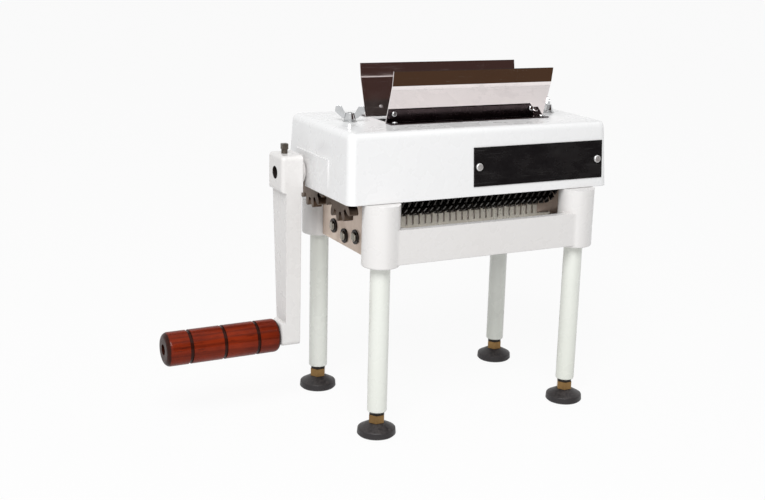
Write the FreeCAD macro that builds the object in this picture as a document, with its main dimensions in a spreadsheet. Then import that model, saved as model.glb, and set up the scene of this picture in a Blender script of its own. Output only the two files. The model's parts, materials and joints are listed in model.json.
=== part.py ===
import FreeCAD, Part
import math
import os
import re
import Sketcher

V = FreeCAD.Vector

# Driving dimensions in millimetres: name, value, what it measures
SIZES = (
    ("leg_spacing_x", 292, "leg centres, left to right"),
    ("leg_spacing_y", 186, "leg centres, front to rear"),
    ("leg_diameter", 25.4, "outside of the leg tube"),
    ("leg_wall", 2, "wall of the leg tube"),
    ("leg_end_round", 1.6, "rounding of the tube's lower end"),
    ("leg_socket_depth", 40, "how far a leg goes into its boss"),
    ("leg_socket_clearance", 0.1, "radial room of the leg in its boss"),
    ("insert_length", 24, "threaded insert inside the tube"),
    ("insert_flange_height", 4.2, "insert flange under the tube"),
    ("insert_flange_diameter", 19, "insert flange"),
    ("stem_diameter", 12, "threaded stem of the foot"),
    ("stem_length", 62, "stem, from inside the pad up"),
    ("stem_seat", 4, "floor to the stem's lower end"),
    ("stem_end_round", 0.8, "rounding of the stem's ends"),
    ("thread_clearance", 0.1, "radial room of a threaded pair"),
    ("jam_nut_across", 19, "jam nut across flats"),
    ("jam_nut_height", 10.8, "jam nut"),
    ("foot_diameter", 50, "rubber foot"),
    ("foot_rim_height", 9, "upright rim of the foot"),
    ("foot_height", 16.5, "top of the foot's cone"),
    ("foot_top_diameter", 21, "flat on top of the foot"),
    ("foot_gap", 0.3, "jam nut above the foot"),
    ("foot_chamfer", 2, "chamfer under the foot"),
    ("foot_draft", 0.6, "foot's rim drawn in towards its top"),
    ("foot_round", 1.5, "rounding between rim and cone"),
    ("casting_bottom", 224, "underside of the corner bosses"),
    ("boss_diameter", 48, "corner boss"),
    ("boss_round", 2, "rounding of the boss's lower edge"),
    ("rail_lift", 3.5, "rail underside above the boss's"),
    ("rail_height", 44, "rail between the bosses"),
    ("rail_thickness", 10, "rail, front to rear"),
    ("rail_setback", 4, "rail face behind the boss's front"),
    ("rail_blend", 10, "hollow between rail and boss"),
    ("lug_thickness", 10, "lug that carries a side plate"),
    ("lug_reach", 48, "lug, from the leg's axis inwards"),
    ("lug_margin", 15, "lug below the top of the rail"),
    ("seat_gap", 0.5, "room between castings, plates and hood"),
    ("plate_gap", 292, "between the two side plates"),
    ("plate_shift", 4, "middle of the side plates right of the machine's"),
    ("plate_thickness", 10, "side plate"),
    ("axle_rise", 97.5, "roller axes above the castings' underside"),
    ("shaft_diameter", 20, "roller shaft"),
    ("crank_end_diameter", 16, "crank end of the driving shaft"),
    ("shaft_clearance", 0.05, "radial running fit of a shaft"),
    ("bush_diameter", 28, "bearing bush"),
    ("bush_flange_diameter", 35, "flange of the bush"),
    ("bush_flange", 3, "flange thickness"),
    ("end_float", 0.3, "side play along the shafts"),
    ("circlip_width", 1.2, "retaining ring"),
    ("circlip_diameter", 27, "retaining ring, outside"),
    ("circlip_groove_depth", 0.8, "groove in the shaft"),
    ("circlip_opening", 60, "opening of the ring, degrees"),
    ("shaft_overhang", 4, "shaft past its retaining ring"),
    ("gear_end_overhang", 1, "shaft past its gear"),
    ("gear_module", 5.4, "tooth size of the spur gears"),
    ("gear_teeth", 16, "teeth of each gear"),
    ("gear_width", 12, "face of the gear"),
    ("gear_offset", 18.3, "gear outside its side plate"),
    ("gear_hub_diameter", 32, "hub of the gear"),
    ("gear_backlash", 0.4, "play between the teeth"),
    ("key_width", 6, "key of the gear"),
    ("key_seat_depth", 3.5, "key seat in the shaft"),
    ("key_clearance", 0.1, "room above the key"),
    ("blade_diameter", 96, "toothed blade disc"),
    ("blade_thickness", 2, "blade disc"),
    ("blade_pitch", 9.25, "one blade disc to the next"),
    ("blade_count", 26, "discs on the driven roller"),
    ("blade_teeth", 22, "notches round a disc"),
    ("blade_notch_depth", 8, "notch between two teeth"),
    ("blade_notch_width", 5.5, "notch at the rim"),
    ("spacer_diameter", 36, "ring between two discs"),
    ("stack_play", 0.05, "room between stacked pieces"),
    ("comb_bar_width", 12, "square bar behind each comb"),
    ("comb_bar_spacing", 66, "between the two comb bars"),
    ("comb_bar_rise", 19.5, "comb bars' axes above the side plates' lower edge"),
    ("comb_thickness", 3, "comb plate"),
    ("comb_length", 272, "comb plate, left to right"),
    ("comb_base", 17.5, "comb plate below its fingers"),
    ("comb_gap", 3, "fingers' tops below the discs"),
    ("comb_reach", 5, "prongs' tops above the discs' lower edge"),
    ("finger_width", 6.4, "comb finger"),
    ("prong_width", 2.6, "prong on every second finger"),
    ("comb_screw_spacing", 100, "between the comb's screws"),
    ("tie_bar_rise", 13.5, "middle tie bar's axis above the side plates' lower edge"),
    ("tie_bar_diameter", 14, "middle tie bar"),
    ("tie_bolt_diameter", 8, "bolts through the side plates"),
    ("tie_bolt_depth", 14, "bolt inside the bar"),
    ("tie_head_diameter", 12, "domed bolt head"),
    ("tie_head_height", 3, "domed bolt head"),
    ("tie_washer_diameter", 19, "washer under the bolt head"),
    ("tie_washer_thickness", 1.5, "washer under the bolt head"),
    ("fastener_clearance", 0.1, "radial room of screws in holes"),
    ("frame_screw_diameter", 6, "lug screws and leg set screws"),
    ("frame_screw_depth", 6, "screw inside the side plate"),
    ("frame_screw_spacing", 16, "between the two screws of a lug"),
    ("set_screw_sink", 1, "leg set screw below the boss's skin"),
    ("hole_bottom", 0.5, "blind hole deeper than its screw"),
    ("hood_rise", 31.5, "rim of the hood above the rails"),
    ("hood_height", 87, "rim to top"),
    ("hood_length", 386, "rim, left to right"),
    ("hood_width", 196, "rim, front to rear"),
    ("hood_top_length", 379, "top, left to right"),
    ("hood_top_width", 182, "top, front to rear"),
    ("hood_wall", 3, "wall of the hood"),
    ("hood_corner_round", 10, "upright corners"),
    ("hood_top_round", 9, "top edges"),
    ("mouth_length", 226, "mouth in the top, left to right"),
    ("mouth_width", 48, "mouth in the top, front to rear"),
    ("slot_clearance", 1, "shaft slot beside the shaft"),
    ("pad_width", 100, "raised pad round the shaft slot"),
    ("pad_height", 46, "raised pad round the shaft slot"),
    ("pad_proud", 0.2, "raised pad's upright face past the rim"),
    ("pad_root", 3, "raised pad inside the sloping wall"),
    ("pad_centre", 14, "pad's middle behind the machine's"),
    ("stud_diameter", 6, "hood stud"),
    ("stud_depth", 12, "stud inside the side plate"),
    ("stud_hole_clearance", 1, "radial room of the stud in the hood"),
    ("stud_above_nut", 2, "stud inside the wing nut, to its top"),
    ("hood_washer_diameter", 19, "washer under the wing nut"),
    ("hood_washer_thickness", 1.6, "washer under the wing nut"),
    ("wing_span", 38, "wing nut, tip to tip"),
    ("wing_height", 18, "wing nut, base to tips"),
    ("wing_base_diameter", 15, "foot of the wing nut"),
    ("wing_hub_height", 9.5, "hub of the wing nut"),
    ("wing_thickness", 3.2, "wing"),
    ("wing_base_height", 2, "upright edge of the wing nut's foot"),
    ("wing_hub_taper", 2, "hub drawn in towards its top"),
    ("wing_lift", 1.5, "wing above the nut's foot"),
    ("wing_tip", 7, "flat ends of a wing, upright and level"),
    ("wing_round", 2.2, "rounding of the wing's corners"),
    ("name_plate_length", 200, "blank plate on the front"),
    ("name_plate_height", 50, "blank plate on the front"),
    ("name_plate_thickness", 1, "blank plate on the front"),
    ("name_plate_shift", 82, "plate's middle right of the machine's"),
    ("name_plate_rise", 37, "plate's middle above the rim"),
    ("rivet_head_diameter", 10, "rivet of the name plate"),
    ("rivet_inset", 8, "rivet from the plate's end"),
    ("chute_length", 238, "feed chute, left to right"),
    ("chute_shift", 8, "chute's middle right of the machine's"),
    ("chute_spacing", 56, "between the feet of the two plates"),
    ("chute_lean", 19, "lean of the plates, degrees"),
    ("chute_slant_height", 70.5, "plate along its slope"),
    ("chute_thickness", 1.2, "chute plate"),
    ("chute_foot_gap", 1, "plate's lower edge off the hood, along its slope"),
    ("chute_lip", 18.5, "folded top lip of the plate"),
    ("chute_lip_turn", 10, "fold of the lip, degrees"),
    ("angle_upright", 20, "upright leg of the chute angle"),
    ("angle_upright_setback", 16, "upright leg short of the chute's end"),
    ("angle_bevel", 9, "cut corner of the upright leg"),
    ("angle_foot", 15.7, "flat leg of the chute angle"),
    ("angle_thickness", 1.5, "chute angle"),
    ("chute_screw_diameter", 4, "screws of the chute"),
    ("chute_screw_inset", 8, "screw from the end of its leg"),
    ("chute_screw_length", 5, "chute screw under its head"),
    ("crank_gap", 9, "crank boss off the hood's rim"),
    ("crank_boss_depth", 29, "crank boss along the shaft"),
    ("crank_boss_width", 47, "crank boss, front to rear"),
    ("crank_boss_height", 48, "crank boss, up and down"),
    ("crank_hub_diameter", 32, "round hub between the boss and the hood"),
    ("crank_hub_gap", 2, "hub off the hood's raised pad"),
    ("crank_arm_depth", 20.5, "arm along the shaft"),
    ("crank_arm_inset", 2, "arm outside the boss's inner face"),
    ("crank_arm_root", 2, "arm's start inside the boss"),
    ("crank_throw", 216.5, "shaft axis down to the grip axis"),
    ("crank_set", 7, "grip axis in front of the shaft axis"),
    ("crank_end_width", 30, "lower end of the arm"),
    ("crank_end_height", 32, "lower end of the arm"),
    ("crank_end_rise", 3, "middle of the lower end above the grip axis"),
    ("crank_round", 5, "rounding of the bosses' edges"),
    ("crank_shaft_recess", 7, "shaft end inside the boss"),
    ("clamp_screw_diameter", 8, "clamp screw of the crank"),
    ("clamp_screw_reach", 16, "clamp screw's axis from the boss's inner face"),
    ("clamp_head_width", 8.2, "clamp screw head"),
    ("clamp_head_height", 7, "clamp screw head"),
    ("clamp_head_round", 1.2, "upright edges of the clamp screw head"),
    ("clamp_neck", 5.5, "bare screw between boss and head"),
    ("spindle_diameter", 10, "spindle of the grip"),
    ("spindle_head_diameter", 13, "spindle head"),
    ("spindle_head_height", 5, "spindle head"),
    ("spindle_head_sink", 6, "spindle head inside the grip's end"),
    ("spindle_head_room", 0.5, "radial room round the spindle head"),
    ("spindle_sink", 1, "spindle's end inside the crank"),
    ("spindle_clearance", 0.08, "radial running fit of the grip"),
    ("grip_diameter", 44, "wooden grip"),
    ("grip_length", 152, "wooden grip"),
    ("grip_gap", 0.4, "grip off the crank"),
    ("grip_end_round", 7, "rounding of the grip's ends"),
    ("grip_groove_width", 4.5, "turned groove"),
    ("grip_groove_depth", 1.6, "turned groove"),
    ("grip_groove_spacing", 44.5, "groove to groove"),
)

# Sizes that follow from them: name, expression, what it measures
FOLLOWING = (
    ("roller_spacing", "gear_module * gear_teeth", "between the roller axes"),
    ("rail_top", "casting_bottom + rail_lift + rail_height", "top of the rails"),
    ("hood_bottom", "rail_top + hood_rise", "rim of the hood"),
    ("axle_height", "casting_bottom + axle_rise", "roller axes above the floor"),
    ("plate_bottom", "casting_bottom + rail_lift", "lower edge of the side plates"),
    ("tie_bar_height", "plate_bottom + tie_bar_rise", "axis of the middle tie bar"),
    ("comb_bar_height", "plate_bottom + comb_bar_rise", "axis of the comb bars"),
    ("comb_low", "comb_bar_height - comb_bar_width / 2", "lower edge of the combs"),
    ("comb_root", "comb_low + comb_base", "where the fingers start"),
    ("disc_low", "axle_height - blade_diameter / 2", "lower edge of the discs"),
    ("finger_top", "disc_low - comb_gap", "top of a finger"),
    ("prong_top", "disc_low + comb_reach", "top of a prong"),
)
NAMES = {name for name, value, meaning in SIZES + FOLLOWING}
LEFT, RIGHT = -1, 1
FRONT, REAR = -1, 1
# Heads of the smaller screws, as shares of the screw's diameter
HEAD_WIDTH, HEAD_HEIGHT = 1.8, 0.55


def bound(expression):
    """The expression with every size's name led to the sheet."""
    return re.sub(r"[a-z_]+", lambda word: "Sizes." + word[0] if word[0] in NAMES else word[0], expression)


def size(expression):
    """Present value of an expression in the sheet's names."""
    return float(sheet.evalExpression(bound(expression)))


def make_sheet():
    made = doc.addObject("Spreadsheet::Sheet", "Sizes")
    formulas = tuple((name, "=" + expression, meaning) for name, expression, meaning in FOLLOWING)
    for row, (name, value, meaning) in enumerate(SIZES + formulas, 1):
        made.set(f"A{row}", name)
        made.set(f"B{row}", str(value))
        made.set(f"C{row}", meaning)
        made.setAlias(f"B{row}", name)
    return made


doc = FreeCAD.newDocument("Tenderizer")
sheet = make_sheet()
doc.recompute()

# Places that several pieces share, worked out from the driving sizes
MIDDLE_X = "(crank_gap + crank_boss_depth + grip_gap + grip_length) / 2"
PLATE_INNER = "plate_gap / 2"
PLATE_OUTER = "(plate_gap / 2 + plate_thickness)"
PLATE_MIDDLE = "(plate_gap + plate_thickness) / 2"
LEG_BOTTOM = "(foot_height + foot_gap + jam_nut_height + insert_flange_height)"
LEG_TOP = "(casting_bottom + leg_socket_depth)"
HOOD_TOP = "(hood_bottom + hood_height)"
PLATE_TOP = f"({HOOD_TOP} - hood_wall)"
PLATE_WIDTH = "(leg_spacing_y - boss_diameter - 2 * seat_gap)"
BUSH_OUTER = f"({PLATE_OUTER} + bush_flange)"
GEAR_INNER = f"({PLATE_OUTER} + gear_offset)"
GEAR_OUTER = f"({GEAR_INNER} + gear_width)"
PITCH_RADIUS = "(gear_module * gear_teeth / 2)"
CRANK_INNER = "(hood_length / 2 + crank_gap)"
CRANK_OUTER = f"({CRANK_INNER} + crank_boss_depth)"
HOOD_SLOPE = "atan((hood_width - hood_top_width) / 2 / hood_height)"
COMB_FACE = "(comb_bar_spacing / 2 + comb_bar_width / 2)"
SCREW_RADIUS = "chute_screw_diameter / 2"


def place(piece, x="0", y="0", z="0"):
    """Put a piece's own origin at a point of the machine, x from the machine's middle."""
    for axis, offset in (("x", f"{MIDDLE_X} + {x}"), ("y", y), ("z", z)):
        piece.setExpression(f"Placement.Base.{axis}", bound(offset))


def place_on_plates(piece, x="0", y="0", z="0"):
    """Put a piece's own origin at a point, x from the middle between the side plates."""
    place(piece, f"plate_shift + {x}", y, z)


def turn(piece, axis, angle):
    """Turn a piece about its own origin by an angle in degrees."""
    piece.Placement = FreeCAD.Placement(piece.Placement.Base, FreeCAD.Rotation(axis, 0))
    piece.setExpression("Placement.Rotation.Angle", bound(angle))
    piece.Placement.Rotation.Axis = axis


def new_body(label):
    body = doc.addObject("PartDesign::Body", "Body_" + label)
    body.Label = label
    return body


def origin_feature(body, role):
    return next(item for item in body.Origin.OriginFeatures if item.Role == role)


def new_sketch(body, plane, lift="0"):
    sketch = body.newObject("Sketcher::SketchObject", "Sketch")
    sketch.AttachmentSupport = [(origin_feature(body, plane + "_Plane"), "")]
    sketch.MapMode = "FlatFace"
    sketch.setExpression("AttachmentOffset.Base.z", bound(lift))
    return sketch


def pin(sketch, item, point, x, y):
    """Hold a point of the sketch at two expressions from the sketch's origin."""
    for kind, text, own_axis in (("DistanceX", x, -2), ("DistanceY", y, -1)):
        if text == "0":
            sketch.addConstraint(Sketcher.Constraint("PointOnObject", item, point, own_axis))
        else:
            held = sketch.addConstraint(Sketcher.Constraint(kind, -1, 1, item, point, size(text)))
            sketch.setExpression(f"Constraints[{held}]", bound(text))


def polygon(sketch, corners):
    """Closed outline through corners, each a pair of expressions."""
    first = sketch.GeometryCount
    points = [V(size(x), size(y), 0) for x, y in corners]
    for start, end in zip(points, points[1:] + points[:1]):
        sketch.addGeometry(Part.LineSegment(start, end), False)
    for place_in, (x, y) in enumerate(corners):
        following = first + (place_in + 1) % len(corners)
        sketch.addConstraint(Sketcher.Constraint("Coincident", first + place_in, 2, following, 1))
        pin(sketch, first + place_in, 1, x, y)


def rectangle(sketch, left, right, low, high):
    polygon(sketch, [(left, low), (right, low), (right, high), (left, high)])


def circle(sketch, radius, x="0", y="0"):
    item = sketch.addGeometry(Part.Circle(V(size(x), size(y), 0), V(0, 0, 1), size(radius)), False)
    pin(sketch, item, 3, x, y)
    held = sketch.addConstraint(Sketcher.Constraint("Radius", item, size(radius)))
    sketch.setExpression(f"Constraints[{held}]", bound(radius))


def hexagon(sketch, across, x="0", y="0"):
    """Six-sided outline with two sides square to the sketch's y axis."""
    near, far = f"({across}) * tan(30) / 2", f"({across}) * tan(30)"
    flat = f"({across}) / 2"
    outline = [(f"{x} + {a}", f"{y} + {b}") for a, b in ((far, "0"), (near, flat), (f"-{near}", flat))]
    outline += [(f"{x} - {a}", f"{y} - {b}") for a, b in ((far, "0"), (near, flat), (f"-{near}", flat))]
    polygon(sketch, outline)


def finish_feature(body, feature):
    """Make a new feature the body's last one, and stop if it didn't come out."""
    body.Tip = feature
    doc.recompute()
    if "Invalid" in feature.State or feature.Shape.isNull():
        raise ValueError(f"{feature.Name} of {body.Label} failed: {feature.State}")
    return feature


def pad(body, sketch, length, midplane=False, reverse=False):
    feature = body.newObject("PartDesign::Pad", "Pad")
    feature.Profile = sketch
    feature.setExpression("Length", bound(length))
    feature.Midplane = midplane
    feature.Reversed = reverse
    return finish_feature(body, feature)


def pocket(body, sketch, length, midplane=False, reverse=False):
    before = body.Shape.Volume
    feature = body.newObject("PartDesign::Pocket", "Pocket")
    feature.Profile = sketch
    feature.setExpression("Length", bound(length))
    feature.Midplane = midplane
    feature.Reversed = reverse
    finish_feature(body, feature)
    if body.Shape.Volume >= before:
        raise ValueError(f"a pocket of {body.Label} cuts nothing")
    return feature


def revolve(body, sketch, axis):
    feature = body.newObject("PartDesign::Revolution", "Revolution")
    feature.Profile = sketch
    feature.ReferenceAxis = (origin_feature(body, axis + "_Axis"), [""])
    feature.Angle = 360
    return finish_feature(body, feature)


def round_edges(body, radius, wanted):
    """Fillet the edges of a body for which the test holds."""
    base = body.Tip
    names = [f"Edge{number}" for number, edge in enumerate(base.Shape.Edges, 1) if wanted(edge)]
    feature = body.newObject("PartDesign::Fillet", "Fillet")
    feature.Base = (base, names)
    feature.setExpression("Radius", bound(radius))
    return finish_feature(body, feature)


def repeat(body, feature, axis, spacing, count):
    """Copies of a feature along an axis; the first one stays where it is."""
    pattern = body.newObject("PartDesign::LinearPattern", "Row")
    pattern.Originals = [feature] if feature else []
    if not feature:
        pattern.TransformMode = "Whole shape"
    pattern.Direction = (origin_feature(body, axis + "_Axis"), [""])
    pattern.Mode = "Spacing"
    pattern.setExpression("Offset", bound(spacing))
    pattern.setExpression("Occurrences", bound(count))
    return finish_feature(body, pattern)


def round_about(body, feature, axis, count):
    """Copies of a feature all round an axis."""
    pattern = body.newObject("PartDesign::PolarPattern", "Ring")
    pattern.Originals = [feature]
    pattern.Axis = (origin_feature(body, axis + "_Axis"), [""])
    pattern.Angle = 360
    pattern.setExpression("Occurrences", bound(count))
    return finish_feature(body, pattern)


def along(edge, axis):
    """True for a straight edge parallel to a direction."""
    if edge.Curve.TypeId != "Part::GeomLine":
        return False
    return abs(abs(edge.Curve.Direction.dot(axis)) - 1) < 1e-6


def near(value, target):
    return abs(value - target) < 1e-3


def group(label, shape, spots, shift="0"):
    """Copies of one shape as separate solids of one piece, its middle so far right of the machine's."""
    feature = doc.addObject("Part::Feature", "Group_" + label)
    feature.Label = label
    feature.Shape = Part.makeCompound([shape.transformed(spot.toMatrix()) for spot in spots])
    place(feature, shift)
    return feature


def spot(x, y, z, rotation=FreeCAD.Rotation()):
    return FreeCAD.Placement(V(x, y, z), rotation)


def corner_spots(z):
    """The four leg axes at one height, as placements from the machine's middle."""
    half_x, half_y = size("leg_spacing_x / 2"), size("leg_spacing_y / 2")
    return [spot(side * half_x, end * half_y, z) for end in (FRONT, REAR) for side in (LEFT, RIGHT)]


def screw_shape(shank, length, head, head_height, domed=True):
    """Screw along +Z with its head above the origin and its shank below."""
    solid = Part.makeCylinder(head / 2, head_height)
    if domed:
        rim = [edge for edge in solid.Edges if near(edge.BoundBox.ZMin, head_height)]
        solid = solid.makeFillet(head_height * 0.7, rim)
    return solid.fuse(Part.makeCylinder(shank / 2, length, V(0, 0, -length))).removeSplitter()


# Legs and feet


def leg(label, side, end):
    body = new_body(label)
    section = new_sketch(body, "XZ")
    inner, outer = "leg_diameter / 2 - leg_wall", "leg_diameter / 2"
    rectangle(section, inner, outer, "0", f"{LEG_TOP} - {LEG_BOTTOM}")
    revolve(body, section, "Z")
    outer_size = size(outer)
    round_edges(body, "min(leg_end_round; leg_wall - 0.1)",
                lambda edge: near(edge.BoundBox.ZMax, 0) and edge.BoundBox.XMax > outer_size - 0.01)
    place(body, f"{side} * leg_spacing_x / 2", f"{end} * leg_spacing_y / 2", LEG_BOTTOM)
    return body


def foot_pad(label, side, end):
    body = new_body(label)
    section = new_sketch(body, "XZ")
    rim, top, bore = "foot_diameter / 2", "foot_top_diameter / 2", "stem_diameter / 2 + shaft_clearance"
    polygon(section, [("0", "0"), (f"{rim} - foot_chamfer", "0"), (rim, "foot_chamfer"),
                      (f"{rim} - foot_draft", "foot_rim_height"),
                      (top, "foot_height"), (bore, "foot_height"), (bore, "stem_seat"), ("0", "stem_seat")])
    revolve(body, section, "Z")
    rim_high, rim_size = size("foot_rim_height"), size(f"{rim} - foot_draft")
    round_edges(body, "foot_round", lambda edge: near(edge.BoundBox.ZMin, rim_high)
                and near(edge.BoundBox.ZMax, rim_high) and near(edge.BoundBox.XMax, rim_size))
    place(body, f"{side} * leg_spacing_x / 2", f"{end} * leg_spacing_y / 2")
    return body


def foot_stem(label, side, end):
    body = new_body(label)
    section = new_sketch(body, "XY")
    circle(section, "stem_diameter / 2")
    pad(body, section, "stem_length")
    round_edges(body, "stem_end_round", lambda edge: edge.Curve.TypeId == "Part::GeomCircle")
    place(body, f"{side} * leg_spacing_x / 2", f"{end} * leg_spacing_y / 2", "stem_seat")
    return body


def leg_inserts():
    """Plugs in the tubes' lower ends, with a flange under the tube and a thread for the stem."""
    plug = size("leg_diameter / 2 - leg_wall - shaft_clearance")
    flange = size("insert_flange_diameter / 2")
    height = size("insert_flange_height")
    solid = Part.makeCylinder(plug, size("insert_length"))
    solid = solid.fuse(Part.makeCylinder(flange, height, V(0, 0, -height)))
    bore = size("stem_diameter / 2 + thread_clearance")
    length = size("insert_length + insert_flange_height")
    solid = solid.cut(Part.makeCylinder(bore, length, V(0, 0, -height))).removeSplitter()
    return group("leg_inserts", solid, corner_spots(size(LEG_BOTTOM)))


def jam_nuts():
    body = new_body("jam_nuts")
    section = new_sketch(body, "XY")
    for side in (LEFT, RIGHT):
        for end in (FRONT, REAR):
            x, y = f"{side} * leg_spacing_x / 2", f"{end} * leg_spacing_y / 2"
            hexagon(section, "jam_nut_across", x, y)
            circle(section, "stem_diameter / 2 + thread_clearance", x, y)
    pad(body, section, "jam_nut_height")
    place(body, z="foot_height + foot_gap")
    return body


def leg_set_screws():
    """Grub screws through the inner side of each boss onto the leg."""
    radius = size("frame_screw_diameter / 2")
    start = size("leg_diameter / 2 + leg_socket_clearance")
    length = size("boss_diameter / 2 - set_screw_sink") - start
    height = size("casting_bottom + leg_socket_depth / 2")
    screw = Part.makeCylinder(radius, length, V(0, 0, start))
    spots = []
    for corner in corner_spots(height):
        inward = V(-math.copysign(1, corner.Base.x), 0, 0)
        spots.append(spot(corner.Base.x, corner.Base.y, height, FreeCAD.Rotation(V(0, 0, 1), inward)))
    return group("leg_set_screws", screw, spots)


# Frame castings and side plates


def casting(label, end, upper_boss=None):
    """Cross rail with a boss at each end for a leg and a lug for each side plate."""
    body = new_body(label)
    boss_pair(body, "rail_lift", "rail_height")
    rail = new_sketch(body, "XY", "rail_lift")
    face = "(rail_setback - boss_diameter / 2)"
    back = f"({face} + rail_thickness)"
    rectangle(rail, "-leg_spacing_x / 2", "leg_spacing_x / 2", face, back)
    pad(body, rail, "rail_height")
    front_size, back_size = size(face), size(back)
    round_edges(body, "rail_blend", lambda edge: along(edge, V(0, 0, 1))
                and (near(edge.BoundBox.YMin, front_size) or near(edge.BoundBox.YMin, back_size)))
    boss_pair(body, "0", "rail_lift")
    if upper_boss:
        boss_pair(body, "rail_lift + rail_height", upper_boss)
    lugs = new_sketch(body, "XY", "rail_lift")
    for side in (LEFT, RIGHT):
        near_side, far_side = f"{side} * {PLATE_INNER}", f"{side} * ({PLATE_INNER} - lug_thickness)"
        left, right = (near_side, far_side) if side == LEFT else (far_side, near_side)
        shift = f"{-end} * plate_shift"
        rectangle(lugs, f"{shift} + {left}", f"{shift} + {right}", "boss_diameter / 3", "lug_reach")
    pad(body, lugs, "rail_height - lug_margin")
    drill_casting(body)
    bore_size = size("leg_diameter / 2 + 2")
    round_edges(body, "boss_round", lambda edge: edge.Curve.TypeId == "Part::GeomCircle"
                and near(edge.BoundBox.ZMax, 0) and edge.Curve.Radius > bore_size)
    turn(body, V(0, 0, 1), "0" if end == FRONT else "180")
    place(body, y=f"{end} * leg_spacing_y / 2", z="casting_bottom")
    return body


def boss_pair(body, low, height):
    """A length of both corner bosses, from a level upwards."""
    bosses = new_sketch(body, "XY", low)
    for side in (LEFT, RIGHT):
        circle(bosses, "boss_diameter / 2", f"{side} * leg_spacing_x / 2")
    pad(body, bosses, height)


def drill_casting(body):
    """Leg sockets, set screw holes and lug screw holes."""
    sockets = new_sketch(body, "XY")
    for side in (LEFT, RIGHT):
        circle(sockets, "leg_diameter / 2 + leg_socket_clearance", f"{side} * leg_spacing_x / 2")
    pocket(body, sockets, "leg_socket_depth", reverse=True)
    radius = "frame_screw_diameter / 2 + fastener_clearance"
    for side in (LEFT, RIGHT):
        grub = new_sketch(body, "YZ", f"{side} * leg_spacing_x / 2")
        circle(grub, radius, "0", "leg_socket_depth / 2")
        pocket(body, grub, "boss_diameter / 2 + 1", reverse=(side == LEFT))
    lug_holes = new_sketch(body, "YZ")
    for height in frame_screw_heights():
        circle(lug_holes, radius, FRAME_SCREW_REACH, height)
    pocket(body, lug_holes, f"2 * ({PLATE_INNER} + abs(plate_shift)) + 2", midplane=True)


FRAME_SCREW_REACH = "(lug_reach + boss_diameter / 2) / 2"


def frame_screw_heights():
    """Heights of the two screws of a lug above the castings' underside."""
    middle = "rail_lift + (rail_height - lug_margin) / 2"
    return [f"({middle} + {step} * frame_screw_spacing / 2)" for step in (-1, 1)]


def side_plate(label, side):
    body = new_body(label)
    outline = new_sketch(body, "YZ")
    rectangle(outline, f"-{PLATE_WIDTH} / 2", f"{PLATE_WIDTH} / 2", "plate_bottom", PLATE_TOP)
    for end in (FRONT, REAR):
        circle(outline, "bush_diameter / 2 + shaft_clearance", f"{end} * roller_spacing / 2", "axle_height")
    for y, z in TIE_SPOTS:
        circle(outline, "tie_bolt_diameter / 2 + fastener_clearance", y, z)
    pad(body, outline, "plate_thickness", midplane=True)
    screws = new_sketch(body, "YZ", f"{-side} * plate_thickness / 2")
    for end in (FRONT, REAR):
        for height in frame_screw_heights():
            circle(screws, "frame_screw_diameter / 2 + fastener_clearance",
                   f"{end} * (leg_spacing_y / 2 - {FRAME_SCREW_REACH})", f"casting_bottom + {height}")
    pocket(body, screws, "frame_screw_depth + hole_bottom", reverse=(side == RIGHT))
    stud = new_sketch(body, "XY", PLATE_TOP)
    circle(stud, "stud_diameter / 2 + shaft_clearance")
    pocket(body, stud, "stud_depth + hole_bottom")
    place_on_plates(body, f"{side} * {PLATE_MIDDLE}")
    return body


TIE_SPOTS = (
    ("-comb_bar_spacing / 2", "comb_bar_height"),
    ("0", "tie_bar_height"),
    ("comb_bar_spacing / 2", "comb_bar_height"),
)


def frame_screws():
    """Two screws through each lug into its side plate, heads on the lug's inner face."""
    diameter = size("frame_screw_diameter")
    length = size("lug_thickness + frame_screw_depth")
    screw = screw_shape(diameter, length, diameter * HEAD_WIDTH, diameter * HEAD_HEIGHT)
    spots = []
    for side in (LEFT, RIGHT):
        inward = FreeCAD.Rotation(V(0, 0, 1), V(-side, 0, 0))
        x = side * size(f"{PLATE_INNER} - lug_thickness")
        for end in (FRONT, REAR):
            y = end * size(f"leg_spacing_y / 2 - {FRAME_SCREW_REACH}")
            spots += [spot(x, y, size(f"casting_bottom + {height}"), inward)
                      for height in frame_screw_heights()]
    return group("frame_screws", screw, spots, "plate_shift")


# Tie bars, combs and their bolts


def tie_ends():
    """Bolt places on both side plates' outer faces, heads outwards."""
    for side in (LEFT, RIGHT):
        outward = FreeCAD.Rotation(V(0, 0, 1), V(side, 0, 0))
        for y, z in TIE_SPOTS:
            yield side * size(PLATE_OUTER), size(y), size(z), outward, side


def tie_bolts():
    washer = size("tie_washer_thickness")
    length = size("plate_thickness + tie_bolt_depth") + washer
    bolt = screw_shape(size("tie_bolt_diameter"), length, size("tie_head_diameter"), size("tie_head_height"))
    spots = [spot(x + side * washer, y, z, outward) for x, y, z, outward, side in tie_ends()]
    return group("tie_bolts", bolt, spots, "plate_shift")


def tie_washers():
    washer = Part.makeCylinder(size("tie_washer_diameter / 2"), size("tie_washer_thickness"))
    bore = size("tie_bolt_diameter / 2 + fastener_clearance")
    washer = washer.cut(Part.makeCylinder(bore, size("tie_washer_thickness")))
    spots = [spot(x, y, z, outward) for x, y, z, outward, side in tie_ends()]
    return group("tie_washers", washer, spots, "plate_shift")


def comb_bar(label, end):
    body = new_body(label)
    section = new_sketch(body, "YZ")
    half = "comb_bar_width / 2"
    rectangle(section, f"-{half}", half, f"-{half}", half)
    pad(body, section, "plate_gap - 2 * stack_play", midplane=True)
    drill_bar_ends(body)
    screws = new_sketch(body, "XZ", f"{-end} * comb_bar_width / 2")
    for step in (-1, 0, 1):
        circle(screws, COMB_SCREW_HOLE, f"{step} * comb_screw_spacing")
    pocket(body, screws, COMB_SCREW_DEPTH, reverse=(end == REAR))
    place_on_plates(body, y=f"{end} * comb_bar_spacing / 2", z="comb_bar_height")
    return body


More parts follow.
